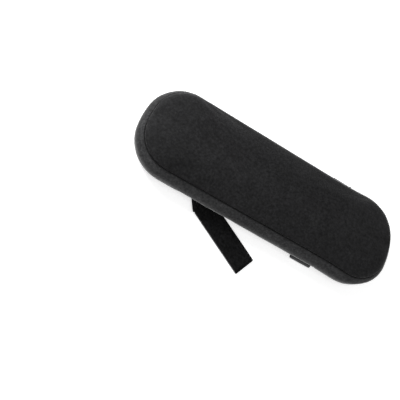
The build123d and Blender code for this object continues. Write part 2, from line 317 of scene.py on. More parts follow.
# ---- plan outline of the cushion, as in the CAD ----
HALF_LENGTH, HALF_WIDTH, CORNER_R, SAGITTA = 120.5, 37.5, 31.0, 9.0
SEAM_Z = 24.0
END_R = (HALF_WIDTH**2 + SAGITTA**2) / (2 * SAGITTA)
END_X = HALF_LENGTH - END_R
CORNER_Y = HALF_WIDTH - CORNER_R
CORNER_X = END_X + math.sqrt((END_R - CORNER_R) ** 2 - CORNER_Y**2)
END_ANGLE = math.atan2(CORNER_Y, CORNER_X - END_X)
# the right end is stuffed a little fuller at its near and far side, each a ramp: by how much, from where in X
# and over what length
FULL_NEAR, FULL_FAR = (1.7, 60.0, 40.0), (2.1, 62.0, 45.0)


def far_side(y):
    """0 along the near side, 1 along the far side, and smooth between them round the ends."""
    return smooth((y + HALF_WIDTH) / (2 * HALF_WIDTH))


def ramp(x, amount, start, length):
    """An amount that comes in smoothly along X."""
    return amount * smooth((x - start) / length)


def outline(spacing):
    """Points and outward normals round the seam line: four like quarters, then the fuller right end."""
    quarter = []
    steps = round(CORNER_X / spacing)
    quarter += [((CORNER_X * i / steps, HALF_WIDTH), (0.0, 1.0)) for i in range(steps)]
    steps = round(CORNER_R * (math.pi / 2 - END_ANGLE) / spacing)
    for i in range(steps):
        a = math.pi / 2 + (END_ANGLE - math.pi / 2) * i / steps
        n = (math.cos(a), math.sin(a))
        quarter.append(((CORNER_X + CORNER_R * n[0], CORNER_Y + CORNER_R * n[1]), n))
    steps = max(2, round(END_R * END_ANGLE / spacing))
    for i in range(steps + 1):
        a = END_ANGLE * (1 - i / steps)
        n = (math.cos(a), math.sin(a))
        quarter.append(((END_X + END_R * n[0], END_R * n[1]), n))
    points = np.array([q[0] for q in quarter])
    normals = np.array([q[1] for q in quarter])
    parts = []
    for sx, sy, order in ((1, 1, 1), (1, -1, -1), (-1, -1, 1), (-1, 1, -1)):
        parts.append(((points * (sx, sy))[::order][:-1], (normals * (sx, sy))[::order][:-1]))
    p, n = np.vstack([p for p, _ in parts]), np.vstack([n for _, n in parts])
    far = far_side(p[:, 1])
    fuller = ramp(p[:, 0], *FULL_FAR) * far + ramp(p[:, 0], *FULL_NEAR) * (1 - far)
    return p + n * fuller[:, None], n


SPINE_X = HALF_LENGTH - HALF_WIDTH


def ring(line, d):
    """The outline moved in by d towards the pad's spine, or out along its normals where d is negative."""
    points, normals = line
    if d < 0:
        return points - normals * d
    spine = np.column_stack([np.clip(points[:, 0], -SPINE_X, SPINE_X), np.zeros(len(points))])
    return points + (spine - points) * (d / HALF_WIDTH)


def curve(knots):
    """Smooth curve through (x, y) knots, level where they turn."""
    xs, ys = (np.array(v, float) for v in zip(*knots))
    h, slope = np.diff(xs), np.diff(ys) / np.diff(xs)
    m = np.concatenate([[slope[0]], (slope[:-1] + slope[1:]) / 2, [slope[-1]]])
    m[1:-1][slope[:-1] * slope[1:] <= 0] = 0

    def value(x):
        x = np.clip(x, xs[0], xs[-1])
        i = np.clip(np.searchsorted(xs, x) - 1, 0, len(h) - 1)
        t = (x - xs[i]) / h[i]
        return (
            (2 * t**3 - 3 * t**2 + 1) * ys[i]
            + (t**3 - 2 * t**2 + t) * h[i] * m[i]
            + (-2 * t**3 + 3 * t**2) * ys[i + 1]
            + (t**3 - t**2) * h[i] * m[i + 1]
        )

    return value


# the top's height against its depth in from the outline, and the gusset's depth against its height
crown = curve([(0.4, 24.8), (2.7, 27.6), (8.0, 30.6), (17.0, 32.0), (26.0, 32.3), (37.5, 32.2)])
gusset = curve([(0.5, 1.2), (4.0, -1.5), (11.0, -4.2), (16.5, -4.5), (20.5, -3.4), (23.2, -0.5)])
# how far the gusset stands out at both ends, and ramps that bring it out along the near side and in again at
# the right-hand corner
END_BULGE = 1.3
NEAR_BULGE, CORNER_PULL = (0.8, 20.0, 40.0), (-2.3, 85.0, 25.0)

# ---- straps' plan, as in the CAD ----
# where each strap folds at the near edge, the way it runs from there, and how far
STRAPS = {
    "left": ((-60.0, -30.6), math.radians(-29.2), 78.0),
    "right": ((54.0, -40.5), math.radians(90), 67.0),
}
HALF_WEB, WEB_T, FREE_LENGTH = 10.0, 1.0, 184.0
# heights of the webbing's middle in its three layers, and of the two folds' axes
TOP_MID, MIDDLE_MID, LOW_MID = 5.0, 1.95, 0.75
FOLD_Z, END_FOLD_Z = 3.475, 1.35
BAR_Z, CENTRE_BAR_Y = 4.9, 15.0

# hollows in the underside: half width and depth over the straps, over the buckles and over the left tail
CHANNEL_HALF, CHANNEL_DEPTH = HALF_WEB + 0.6, 5.8
BUCKLE_HALF, BUCKLE_DEPTH = 13.6, 7.4
TAIL_DEPTH = 2.4
HOLLOW_EDGE = 3.0
BASE_LIFT = 0.45


def band(u, v, start, end, half, depth):
    """Height of a soft-edged hollow pressed in over a strap, u along it and v across."""
    return (
        depth
        * smooth((half + HOLLOW_EDGE - np.abs(v)) / HOLLOW_EDGE)
        * smooth((u - start + HOLLOW_EDGE) / HOLLOW_EDGE)
        * smooth((end + HOLLOW_EDGE - u) / HOLLOW_EDGE)
    )


def hollow(x, y):
    """How high the underside is pressed in at a point."""
    x, y = np.asarray(x, float), np.asarray(y, float)
    height = np.zeros_like(x)
    for side, (fold, angle, _) in STRAPS.items():
        channel = band(-y, x - fold[0], start=-2.0, end=70.0, half=CHANNEL_HALF, depth=CHANNEL_DEPTH)
        pocket = band(y, x - fold[0], start=-4.5, end=35.6, half=BUCKLE_HALF, depth=BUCKLE_DEPTH)
        height = np.maximum(np.maximum(height, channel), pocket)
        if side == "left":
            u = (x - fold[0]) * math.cos(angle) + (y - fold[1]) * math.sin(angle)
            v = -(x - fold[0]) * math.sin(angle) + (y - fold[1]) * math.cos(angle)
            height = np.maximum(height, band(u, v, start=-4.0, end=90.0, half=CHANNEL_HALF, depth=TAIL_DEPTH))
    return height


# ---- cushion ----
COARSE, FINE = 2.6, 1.3
CROWN_PROUD = 0.02
TOP_GROOVE_DEPTH, BASE_GROOVE_DEPTH, BASE_GROOVE_Z = 1.9, 2.9, 0.95


def cushion():
    """Closed form of the cushion from its top centre line round to its underside, and what each ring is."""
    top_depths = [37.5, 34, 30.5, 27, 23.5, 20, 16.7, 13.6, 10.8, 8.3, 6.1, 4.2, 2.7, 1.4, 0.45]
    side_heights = [23.2, 22.5, 21.2, 19.2, 17, 14.6, 12.2, 9.8, 7.4, 5.4, 3.6, 2.2, 1.2]
    base_depths = [4.5, 8, 12, 16, 20, 24, 28, 32, 37.5]
    rings = [(d, float(crown(d)) + CROWN_PROUD, "top") for d in top_depths]
    rings += [(TOP_GROOVE_DEPTH, SEAM_Z, "top_groove")]
    rings += [(float(gusset(z)), z, "side") for z in side_heights]
    rings += [(BASE_GROOVE_DEPTH, BASE_GROOVE_Z, "base_groove")]
    rings += [(d, BASE_LIFT, "base") for d in base_depths]
    return outline(COARSE), rings


line, rings = cushion()
AROUND = len(line[0])
RINGS = len(rings)
kinds = [k for _, _, k in rings]
line_x, near_side = line[0][:, :1], 1 - far_side(line[0][:, 1:])
levels = []
for d, z, kind in rings:
    place = ring(line, d)
    if kind == "side":
        fullness = (ramp(line_x, *NEAR_BULGE) + ramp(line_x, *CORNER_PULL)) * near_side
        place += line[1] * math.sin(math.pi * z / SEAM_Z) * (END_BULGE * np.abs(line[1][:, :1]) + fullness)
    levels.append(np.column_stack([place, np.full(AROUND, z)]))
sewn = np.vstack(levels)
ring_of = np.repeat(np.arange(RINGS), AROUND)
kind_of = np.array(kinds)[ring_of]
depth_of = np.array([d for d, _, _ in rings])[ring_of]
z_of = np.array([z for _, z, _ in rings])[ring_of]

PRESSURE, SWELL_STEPS = 4.0, 20


def swell(points):
    """Cloth simulation with air pressure inside the closed cover, held at its seams and base."""
    keys = {}
    same = [keys.setdefault((round(x, 1), round(y, 1), round(z, 1)), i) for i, (x, y, z) in enumerate(points)]
    faces = [tuple(dict.fromkeys(same[i] for i in f)) for f in ring_faces(RINGS, AROUND)]
    mesh = bpy.data.meshes.new("swelling")
    mesh.from_pydata([tuple(p * MM) for p in points], [], [f for f in faces if len(f) > 2])
    body = bpy.data.objects.new("swelling", mesh)
    scene.collection.objects.link(body)
    held = body.vertex_groups.new(name="held")
    held.add([i for i, k in enumerate(kind_of) if k.endswith("groove") or k == "base"], 1.0, "REPLACE")
    cloth = body.modifiers.new("cloth", "CLOTH")
    settings = cloth.settings
    settings.use_pressure = True
    settings.uniform_pressure_force = PRESSURE
    settings.effector_weights.gravity = 0
    settings.vertex_group_mass = "held"
    cloth.collision_settings.use_collision = False
    for step in range(1, SWELL_STEPS + 1):
        scene.frame_set(step)
    blown = body.evaluated_get(bpy.context.evaluated_depsgraph_get()).to_mesh()
    after = np.array([v.co for v in blown.vertices], float) / MM
    bpy.data.objects.remove(body)
    scene.frame_set(1)
    return after[same]


# the cover stays flat beside the zip: from where it does in Y, past the zip's ends in X, and up to where in Z
ZIP_HALF, ZIP_Z = 80.0, 12.0
FLAT_FROM_Y, FLAT_Y_EDGE = 30, 8
FLAT_X_EDGE = 16
FLAT_TO_Z, FLAT_Z_EDGE = 23, 5
beside_zip = (
    smooth((sewn[:, 1] - FLAT_FROM_Y) / FLAT_Y_EDGE)
    * smooth((ZIP_HALF + FLAT_X_EDGE - np.abs(sewn[:, 0])) / FLAT_X_EDGE)
    * smooth((FLAT_TO_Z - sewn[:, 2]) / FLAT_Z_EDGE)
)
PUFF_CAP = 1.5
shaped = sewn.copy()
moved = swell(sewn) - sewn
length = np.linalg.norm(moved, axis=1)
shaped = sewn + moved * (np.minimum(1, PUFF_CAP / np.maximum(length, 1e-6)) * (1 - beside_zip))[:, None]

# gathers at the seams and unevenness of the foam: how far they push, and how wide they are
GATHER, GATHER_WIDTH, GATHER_HEIGHT = 0.32, 5.5, 30.0
LOOSE, LOOSE_WIDTH, LOOSE_SHIFT = 0.28, 24.0, 7.0
LEAN_HEIGHT = 6.0
GATHER_FADE_TOP, GATHER_FADE_SIDE = 5.0, 4.0


def puckers(points, near_seam):
    """Small gathers where the cover is sewn, and a slight unevenness of the foam."""
    out = points.copy()
    for i, (x, y, z) in enumerate(points):
        gather = noise.noise(Vector((x / GATHER_WIDTH, y / GATHER_WIDTH, z / GATHER_HEIGHT))) * near_seam[i]
        loose = noise.noise(Vector((x / LOOSE_WIDTH, y / LOOSE_WIDTH, z / LOOSE_WIDTH + LOOSE_SHIFT)))
        away = Vector((0.0 if abs(x) < SPINE_X else x - math.copysign(SPINE_X, x), y, 0.0))
        away.normalize()
        lean = min(1.0, max(0.0, (z - SEAM_Z) / LEAN_HEIGHT))
        push = Vector((away.x * (1 - lean), away.y * (1 - lean), lean)) * (GATHER * gather + LOOSE * loose)
        out[i] = (x + push.x, y + push.y, z + push.z)
    return out


near_seam = np.where(
    z_of > SEAM_Z,
    np.exp(-np.maximum(depth_of, 0) / GATHER_FADE_TOP),
    np.exp(-np.abs(z_of - SEAM_Z) / GATHER_FADE_SIDE),
)
free = np.isin(kind_of, ["top", "side"])
shaped += (puckers(shaped, near_seam) - shaped) * (free * (1 - beside_zip))[:, None]

# the lower edge of the gusset rides over the straps, less and less up to a height above its foot
FOOT_Z, RIDE_HEIGHT = 1.0, 13.0
lift = hollow(shaped[:, 0], shaped[:, 1]) * np.clip(1 - (shaped[:, 2] - FOOT_Z) / RIDE_HEIGHT, 0, 1) ** 2
low_part = np.isin(kind_of, ["side", "base_groove"])
shaped[low_part, 2] += lift[low_part]


def panel(name, first, last, mat):
    """Velour panel from one ring to another, a single layer of faces."""
    points = shaped[first * AROUND : (last + 1) * AROUND]
    return piece(name, points, ring_faces(last - first + 1, AROUND), None, [mat])


WELD_GAP, SLIVER = 0.05, 0.001


def weld(made):
    """Joins the points that meet on the spine."""
    cleaned = bmesh.new()
    cleaned.from_mesh(made.data)
    bmesh.ops.remove_doubles(cleaned, verts=cleaned.verts, dist=WELD_GAP * MM)
    bmesh.ops.dissolve_degenerate(cleaned, edges=cleaned.edges, dist=SLIVER * MM)
    cleaned.to_mesh(made.data)
    cleaned.free()
    made.data.shade_smooth()


def thicken(made, thickness, levels=1):
    """Smooths a panel and gives it its fabric's thickness, turned inward."""
    if levels:
        finer = made.modifiers.new("finer", "SUBSURF")
        finer.levels = finer.render_levels = levels
    skin = made.modifiers.new("thickness", "SOLIDIFY")
    skin.thickness = thickness * MM
    skin.offset = -1.0


VELOUR_T, KNIT_T = 1.0, 0.8
groove = kinds.index("top_groove")
top_cover = panel("top_cover", 0, groove, SHADED_TOP_VELOUR)
weld(top_cover)
thicken(top_cover, VELOUR_T)
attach(top_cover, "pad")
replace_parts(top_cover, "top_panel")

side_cover = panel("side_cover", groove, kinds.index("base_groove"), LIT_SIDE_VELOUR)
thicken(side_cover, VELOUR_T)
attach(side_cover, "pad")
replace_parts(side_cover, "side_gusset")

# the foam is drawn in from the cover towards an axis at this height, and stays above the underside's panel
FOAM_AXIS_Z, FOAM_INSET, FOAM_FLOOR = 16.0, 3.0, 3.4


def inner_foam():
    """Foam core, a closed form inside the cover."""
    points = shaped.copy()
    along = np.clip(points[:, 0], -SPINE_X, SPINE_X)
    spine = np.column_stack([along, np.zeros(len(points)), np.full(len(points), FOAM_AXIS_Z)])
    inward = spine - points
    reach = np.linalg.norm(inward, axis=1)
    points += inward * (FOAM_INSET / np.maximum(reach, FOAM_INSET))[:, None]
    lowest = FOAM_FLOOR + hollow(points[:, 0], points[:, 1])
    points[:, 2] = np.where(kind_of == "base", lowest, np.maximum(points[:, 2], lowest))
    made = piece("foam_pad", points, ring_faces(RINGS, AROUND), None, [FOAM])
    weld(made)
    return made


foam_pad = inner_foam()
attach(foam_pad, "pad")
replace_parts(foam_pad, "foam_core")

# the knit panel's edge turns up into the seam: depths in from the outline and how far each is raised
EDGE = [(2.6, 0.5), (2.9, 0.15), (3.4, 0.0)]
INNER_FROM, INNER_STEP, INNER_RINGS = 4.2, 1.28, 27


def underside():
    """Knit base panel, pressed in over the straps."""
    fine = outline(FINE)
    steps = EDGE + [(INNER_FROM + INNER_STEP * i, 0.0) for i in range(INNER_RINGS)]
    rows = []
    for d, raised in steps:
        flat = ring(fine, min(d, HALF_WIDTH))
        rows.append(np.column_stack([flat, BASE_LIFT + hollow(flat[:, 0], flat[:, 1]) + raised]))
    faces = ring_faces(len(steps), len(fine[0]))
    return piece("base_cover", np.vstack(rows), faces, None, [KNIT])


base_cover = underside()
weld(base_cover)
thicken(base_cover, KNIT_T, levels=0)
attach(base_cover, "pad")
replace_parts(base_cover, "base_panel")

# grip dots: spacing along and between the rows, rows and columns each side of the middle, plain border,
# slope that a dot may stand on, and a dot's profile as radius and height down from the knit
DOT_PITCH, DOT_ROW_PITCH = 4.6, 3.9
DOT_ROWS, DOT_COLUMNS = 9, 27
DOT_BORDER, DOT_SLOPE, DOT_SIDES = 6.5, 0.04, 8
DOT_PROFILE, DOT_TIP = ((0.78, -0.08), (0.72, 0.16), (0.45, 0.32)), 0.37


def dot_fits(x, y, edge):
    """Whether a dot lies inside the plain border."""
    nearest = np.min(np.hypot(edge[:, 0] - x, edge[:, 1] - y))
    if abs(x) >= HALF_LENGTH or abs(y) >= HALF_WIDTH or nearest <= DOT_BORDER:
        return False
    from_corner = math.hypot(abs(x) - CORNER_X, max(0, abs(y) - CORNER_Y))
    return abs(x) <= CORNER_X or from_corner <= CORNER_R - DOT_BORDER


def dots():
    """Raised grip dots in a staggered grid, inside a plain border and off the hollows' slopes."""
    edge = outline(COARSE)[0]
    verts, faces = [], []
    for row in range(-DOT_ROWS, DOT_ROWS + 1):
        for column in range(-DOT_COLUMNS, DOT_COLUMNS + 1):
            x = column * DOT_PITCH + (DOT_PITCH / 2 if row % 2 else 0.0)
            y = row * DOT_ROW_PITCH
            if not dot_fits(x, y, edge):
                continue
            around = hollow(np.array([x, x + 1, x - 1, x, x]), np.array([y, y, y, y + 1, y - 1]))
            if around.max() - around.min() > DOT_SLOPE:
                continue
            z = BASE_LIFT + around[0]
            first = len(verts)
            for radius, height in DOT_PROFILE:
                for k in range(DOT_SIDES):
                    a = 2 * math.pi * k / DOT_SIDES
                    verts.append((x + radius * math.cos(a), y + radius * math.sin(a), z - height))
            verts.append((x, y, z - DOT_TIP))
            last = first + (len(DOT_PROFILE) - 1) * DOT_SIDES
            for low in range(first, last, DOT_SIDES):
                for k in range(DOT_SIDES):
                    n = (k + 1) % DOT_SIDES
                    faces.append((low + n, low + k, low + DOT_SIDES + k, low + DOT_SIDES + n))
            tip = last + DOT_SIDES
            faces += [(last + (k + 1) % DOT_SIDES, last + k, tip) for k in range(DOT_SIDES)]
            faces.append(tuple(first + k for k in range(DOT_SIDES)))
    return piece("grip_dots", verts, faces, "pad", [DOTS], closed=True)


dots()

ROLL_R, ROLL_SIDES = 0.5, 8


def roll(name, d, z, waver, follow, replaced):
    """Turned seam: a thin roll of fabric in the groove between two panels, following the hollows if asked. It
    takes the near-black thread colour, darker than the velour, as painted shade along the seam's groove.
    """
    centre, normals = ring(outline(FINE), d), outline(FINE)[1]
    heights = np.full(len(centre), z) + (hollow(centre[:, 0], centre[:, 1]) if follow else 0)
    verts, faces = [], []
    for j, (p, n, h) in enumerate(zip(centre, normals, heights)):
        r = ROLL_R * (1 + waver * (math.sin(j * 1.9) + 0.6 * math.sin(j * 0.61)))
        for k in range(ROLL_SIDES):
            a = 2 * math.pi * k / ROLL_SIDES
            verts.append((p[0] + n[0] * r * math.cos(a), p[1] + n[1] * r * math.cos(a), h + r * math.sin(a)))
    for j in range(len(centre)):
        here, after = j * ROLL_SIDES, (j + 1) % len(centre) * ROLL_SIDES
        for k in range(ROLL_SIDES):
            n = (k + 1) % ROLL_SIDES
            faces.append((here + k, here + n, after + n, after + k))
    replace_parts(piece(name, verts, faces, "pad", [THREAD_AND_SEAM_SHADE], closed=True), replaced)


roll("top_seam_roll", d=0.55, z=SEAM_Z - 0.25, waver=0.28, follow=False, replaced="top_seam")
roll("base_seam_roll", d=2.5, z=0.62, waver=0.08, follow=True, replaced="base_seam")

# ---- webbing ----
# points across a strap, closer at its edges, which are thinner by a part of the thickness
ACROSS = np.array([-10, -9.75, -9.2, -7.5, -5, -2.5, 0, 2.5, 5, 7.5, 9.2, 9.75, 10])
EDGE_THINNING, EDGE_POWER = 0.45, 14


def edge_thickness(v):
    return WEB_T * (1 - EDGE_THINNING * (np.abs(v) / HALF_WEB) ** EDGE_POWER)


def ribbon(name, centres, normals, body, inner, replaced=None, outer=None):
    """Webbing from a grid of centre points and normals: the normals' side is the outer face."""
    centres, normals = np.array(centres), np.array(normals)
    rows, columns = centres.shape[:2]
    half = (edge_thickness(ACROSS) / 2)[None, :, None]
    outside, inside = centres + normals * half, centres - normals * half
    verts = np.vstack([outside.reshape(-1, 3), inside.reshape(-1, 3)])
    shift = rows * columns
    steps = np.linalg.norm(np.diff(centres[:, columns // 2], axis=0), axis=1)
    along = np.concatenate([[0], np.cumsum(steps)])
    uvs = [(along[i], ACROSS[j]) for i in range(rows) for j in range(columns)] * 2
    faces, mats = [], []
    for i in range(rows - 1):
        for j in range(columns - 1):
            a, b = i * columns + j, i * columns + j + 1
            c, d = b + columns, a + columns
            faces += [(a, b, c, d), (a + shift, d + shift, c + shift, b + shift)]
            mats += [0, 1]
        for j in (0, columns - 1):
            a, d = i * columns + j, (i + 1) * columns + j
            faces.append((a, d, d + shift, a + shift) if j == 0 else (d, a, a + shift, d + shift))
            mats.append(0)
    for i in (0, rows - 1):
        for j in range(columns - 1):
            a, b = i * columns + j, i * columns + j + 1
            faces.append((b, a, a + shift, b + shift) if i == 0 else (a, b, b + shift, a + shift))
            mats.append(0)
    made = piece(name, verts, faces, body, [outer or WEB, inner], mats, uvs, closed=True)
    if replaced:
        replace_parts(made, replaced)
    return made


def path_ribbon(x, points, direction=1):
    """Centres and normals along a path in the upright plane through the strap, with x across it."""
    points = np.array(points, float)
    step = np.gradient(points, axis=0)
    step /= np.linalg.norm(step, axis=1)[:, None]
    normals = np.column_stack([-step[:, 1], step[:, 0]]) * direction
    centres = [[(x + v, p[0], p[1]) for v in ACROSS] for p in points]
    sides = [[(0, n[0], n[1]) for v in ACROSS] for n in normals]
    return np.array(centres), np.array(sides)


def rounded(points, spacing):
    """Catmull-Rom curve through a route's points."""
    p = np.array([points[0], *points, points[-1]], float)
    out = []
    for i in range(1, len(p) - 2):
        steps = max(2, round(np.linalg.norm(p[i + 1] - p[i]) / spacing))
        for k in range(steps):
            t = k / steps
            out.append(
                0.5
                * (
                    2 * p[i]
                    + (p[i + 1] - p[i - 1]) * t
                    + (2 * p[i - 1] - 5 * p[i] + 4 * p[i + 1] - p[i + 2]) * t**2
                    + (3 * p[i] - p[i - 1] - 3 * p[i + 1] + p[i + 2]) * t**3
                )
            )
    out.append(p[-1])
    return np.array(out)


# a bead's sections: place along it, radius and how far it sinks in, as parts of its length and its radius
BEAD = ((-0.5, 0.25, 0.5), (-0.3, 0.9, 0.1), (0.0, 1.0, 0.0), (0.3, 0.9, 0.1), (0.5, 0.25, 0.5))
BEAD_SIDES = 6


def beads(name, places, size, body, mat):
    """Small rounded bars, such as stitches or coil turns.

    Each place is a centre, a direction and the side it shows; size is a length and a radius.
    """
    verts, faces = [], []
    for centre, direction, out in places:
        side = direction.cross(out).normalized()
        first = len(verts)
        for t, r, sink in BEAD:
            for k in range(BEAD_SIDES):
                a = 2 * math.pi * k / BEAD_SIDES
                p = centre + direction * t * size[0] + (side * math.cos(a) + out * math.sin(a)) * r * size[1]
                verts.append(tuple(p - out * sink * size[1]))
        last = first + (len(BEAD) - 1) * BEAD_SIDES
        for low in range(first, last, BEAD_SIDES):
            for k in range(BEAD_SIDES):
                n = (k + 1) % BEAD_SIDES
                faces.append((low + k, low + n, low + BEAD_SIDES + n, low + BEAD_SIDES + k))
        faces.append(tuple(first + k for k in reversed(range(BEAD_SIDES))))
        faces.append(tuple(last + k for k in range(BEAD_SIDES)))
    return piece(name, verts, faces, body, [mat], closed=True)


STITCH, STITCH_PITCH = (1.5, 0.28), 2.3


def stitches(name, rows, body):
    """Rows of thread stitches: each row is a start, an end and the side the thread lies on."""
    places = []
    for start, end, out in rows:
        start, end = Vector(start), Vector(end)
        direction = (end - start).normalized()
        for i in range(max(1, int((end - start).length / STITCH_PITCH))):
            places.append((start + direction * STITCH_PITCH * (i + 0.5), direction, Vector(out)))
    return beads(name, places, STITCH, body, THREAD_AND_SEAM_SHADE)


# ---- zip on the far side ----
TAPE_W, TAPE_LAP, TAPE_PROUD, TAPE_STEPS = 4.6, 0.2, 0.25, 64
SEW_PROUD, SEW_FROM_COIL = 0.75, 4.2
COIL_W, COIL_Y = 1.6, 42.7
COIL_FROM_X, COIL_PITCH, COIL_TURNS = -77.6, 1.2, 130
COIL_SINK, COIL_STAGGER, COIL_TURN = 0.55, 0.1, (2.6, 0.5)


def tape_side(z):
    """How far the cover stands out at a height of the zip, from the middle of the pad."""
    return HALF_WIDTH - float(gusset(z))


def zip_tape(name, low):
    """Woven tape beside the coil, from its lower edge up."""
    centres = []
    for k in range(TAPE_STEPS + 1):
        along = -ZIP_HALF + 2 * ZIP_HALF * k / TAPE_STEPS
        heights = [low + TAPE_W * (v + HALF_WEB) / (2 * HALF_WEB) for v in ACROSS]
        centres.append([(along, tape_side(z) + TAPE_PROUD, z) for z in heights])
    normals = np.tile((0.0, 1.0, 0.0), (TAPE_STEPS + 1, len(ACROSS), 1))
    made = ribbon(f"{name}_cloth", centres, normals, "pad", TAPE, name, TAPE)


zip_tape("zip_tape_upper", ZIP_Z + COIL_W / 2 - TAPE_LAP)
zip_tape("zip_tape_lower", ZIP_Z - COIL_W / 2 + TAPE_LAP - TAPE_W)
rows = []
for z in (ZIP_Z - SEW_FROM_COIL, ZIP_Z + SEW_FROM_COIL):
    y = tape_side(z) + SEW_PROUD
    rows.append(((-ZIP_HALF, y, z), (ZIP_HALF, y, z), (0, 1, 0)))
stitches("zip_stitches", rows, "pad")
turns = []
for i in range(COIL_TURNS):
    centre = Vector((COIL_FROM_X + COIL_PITCH * i, COIL_Y - COIL_SINK - COIL_STAGGER * (i % 2), ZIP_Z))
    turns.append((centre, Vector((0, 0, 1)), Vector((0, 1, 0))))
coil = beads("zip_coil_turns", turns, COIL_TURN, "pad", COIL)
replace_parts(coil, "zip_coil")

# ---- straps ----
# upper half of the loop's route round the end bar, and the root's route round the centre bar and over the
# grip bar, each point a place in Y and Z
LOOP_ROUTE = [
    (35.2, 5.42), (33.5, 5.42), (31.6, 5.46), (30.2, 6.0), (28.9, 6.5), (27.6, 6.62), (26.5, 5.9),
    (26.22, 4.9),
]
ROOT_END_Y = -3.3
ROOT_ROUTE = [
    (ROOT_END_Y, 6.06), (0.5, 6.06), (5.0, 6.12), (8.0, 6.3), (11.5, 6.42), (15.0, 6.42), (17.6, 6.2),
    (18.6, 4.9), (17.6, 3.6), (15.0, 3.38), (11.5, 3.38), (8.6, 3.9), (5.6, 4.8), (2.5, 5.02),
    (ROOT_END_Y, TOP_MID),
]
LOOP_SPACING, ROOT_SPACING = 0.6, 0.9
# half length of the stitch rows, how far below the webbing's middle they lie, and where they are in Y
SEW_HALF = 8.6
LOOP_SEW_DROP, LOOP_SEW_Y = 1.05, (31.9, 33.1)
ROOT_SEW_DROP, ROOT_SEW_Y = 0.55, (-2.0, -0.4)
# divisions along each stretch
ROOT_STEPS, FOLD_STEPS, MIDDLE_STEPS, TIP_STEPS, END_STEPS = 24, 12, 30, 8, 24


class Strap:
    """Where a strap lies in plan."""

    def __init__(self, side):
        self.side = side
        self.fold, angle, self.middle_length = STRAPS[side]
        self.x = self.fold[0]
        crease = (angle - math.pi / 2) / 2
        self.slant = math.tan(crease)
        # how far a point's place along the middle run shifts with its place across it, at the slanting crease
        self.skew = 0.0 if side == "right" else 1 / math.tan(crease - angle)
        self.outward = Vector((math.sin(crease), -math.cos(crease), 0))
        self.direction = Vector((math.cos(angle), math.sin(angle), 0))
        self.sideways = Vector((-math.sin(angle), math.cos(angle), 0))
        self.end_length = FREE_LENGTH - (CENTRE_BAR_Y - self.fold[1]) - self.middle_length


def sewn_rows(strap, z, places):
    return [((strap.x - SEW_HALF, y, z), (strap.x + SEW_HALF, y, z), (0, 0, -1)) for y in places]


def buckle_loop(strap):
    """Loop round the buckle's end bar, sewn together beside the base seam."""
    side = strap.side
    route = LOOP_ROUTE + [(y, 2 * BAR_Z - z) for y, z in reversed(LOOP_ROUTE[:-1])]
    centres, normals = path_ribbon(strap.x, rounded(route, LOOP_SPACING), -1)
    ribbon(f"{side}_loop_webbing", centres, normals, f"{side}_loop", PILE, f"{side}_buckle_loop")
    stitches(f"{side}_loop_stitches", sewn_rows(strap, BAR_Z - LOOP_SEW_DROP, LOOP_SEW_Y), f"{side}_loop")


def root(strap):
    """Sewn end, round the centre bar, over the grip bar and on to the fold."""
    side = strap.side
    centres, normals = path_ribbon(strap.x, rounded(ROOT_ROUTE, ROOT_SPACING))
    run = []
    for k in range(1, ROOT_STEPS + 1):
        t = k / ROOT_STEPS
        y = ROOT_END_Y + t * (strap.fold[1] - ROOT_END_Y)
        run.append([(strap.x + v, y + t * v * strap.slant, TOP_MID) for v in ACROSS])
    centres = np.vstack([centres, np.array(run)])
    normals = np.vstack([normals, np.tile((0.0, 0.0, -1.0), (ROOT_STEPS, len(ACROSS), 1))])
    ribbon(f"{side}_root_webbing", centres, normals, f"{side}_buckle", PILE, f"{side}_strap_root")
    stitches(f"{side}_root_stitches", sewn_rows(strap, TOP_MID - ROOT_SEW_DROP, ROOT_SEW_Y), f"{side}_buckle")


def u_bend(crease, outward, radius, steps):
    """Half turn about a crease's points, from above it, out and round to below it."""
    bend, normals = [], []
    for k in range(steps + 1):
        a = math.pi / 2 - math.pi * k / steps
        radial = outward * math.cos(a) + Vector((0, 0, math.sin(a)))
        bend.append([tuple(p + radial * radius) for p in crease])
        normals.append([tuple(radial)] * len(crease))
    return bend, normals


def edge_fold(strap):
    """Fold under the near edge."""
    side, fold = strap.side, strap.fold
    crease = [Vector((strap.x + v, fold[1] + v * strap.slant, FOLD_Z)) for v in ACROSS]
    bend, normals = u_bend(crease, strap.outward, TOP_MID - FOLD_Z, FOLD_STEPS)
    outer = PILE if side == "left" else WEB
    made = ribbon(f"{side}_fold_webbing", bend, normals, None, WEB, outer=outer)
    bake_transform(made)


def middle_run(strap):
    """Stretch after the first fold, with the pile up."""
    side = strap.side
    start = Vector((strap.x, strap.fold[1], MIDDLE_MID))
    run = []
    for k in range(MIDDLE_STEPS + 1):
        t = k / MIDDLE_STEPS
        places = [(1 - t) * strap.skew * v + t * strap.middle_length for v in ACROSS]
        run.append([tuple(start + strap.direction * a + strap.sideways * v) for a, v in zip(places, ACROSS)])
    normals = np.tile((0.0, 0.0, -1.0), (MIDDLE_STEPS + 1, len(ACROSS), 1))
    ribbon(f"{side}_middle_webbing", run, normals, f"{side}_middle", PILE, f"{side}_strap_middle")


def tip_fold(strap):
    """Fold at the far end of the middle run."""
    side = strap.side
    tip = Vector((strap.x, strap.fold[1], 0)) + strap.direction * strap.middle_length
    crease = [tip + Vector((0, 0, END_FOLD_Z)) + strap.sideways * v for v in ACROSS]
    bend, normals = u_bend(crease, strap.direction, MIDDLE_MID - END_FOLD_Z, TIP_STEPS)
    made = ribbon(f"{side}_tip_fold_webbing", bend, normals, None, WEB, outer=PILE)
    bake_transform(made)


def end_run(strap):
    """Last stretch, doubled back underneath, with the pile down."""
    side = strap.side
    start = Vector((strap.x, strap.fold[1], LOW_MID))
    run = []
    for k in range(END_STEPS + 1):
        a = strap.middle_length - strap.end_length * k / END_STEPS
        run.append([tuple(start + strap.direction * a + strap.sideways * v) for v in ACROSS])
    normals = np.tile((0.0, 0.0, 1.0), (END_STEPS + 1, len(ACROSS), 1))
    ribbon(f"{side}_end_webbing", run, normals, f"{side}_end", PILE, f"{side}_strap_end")


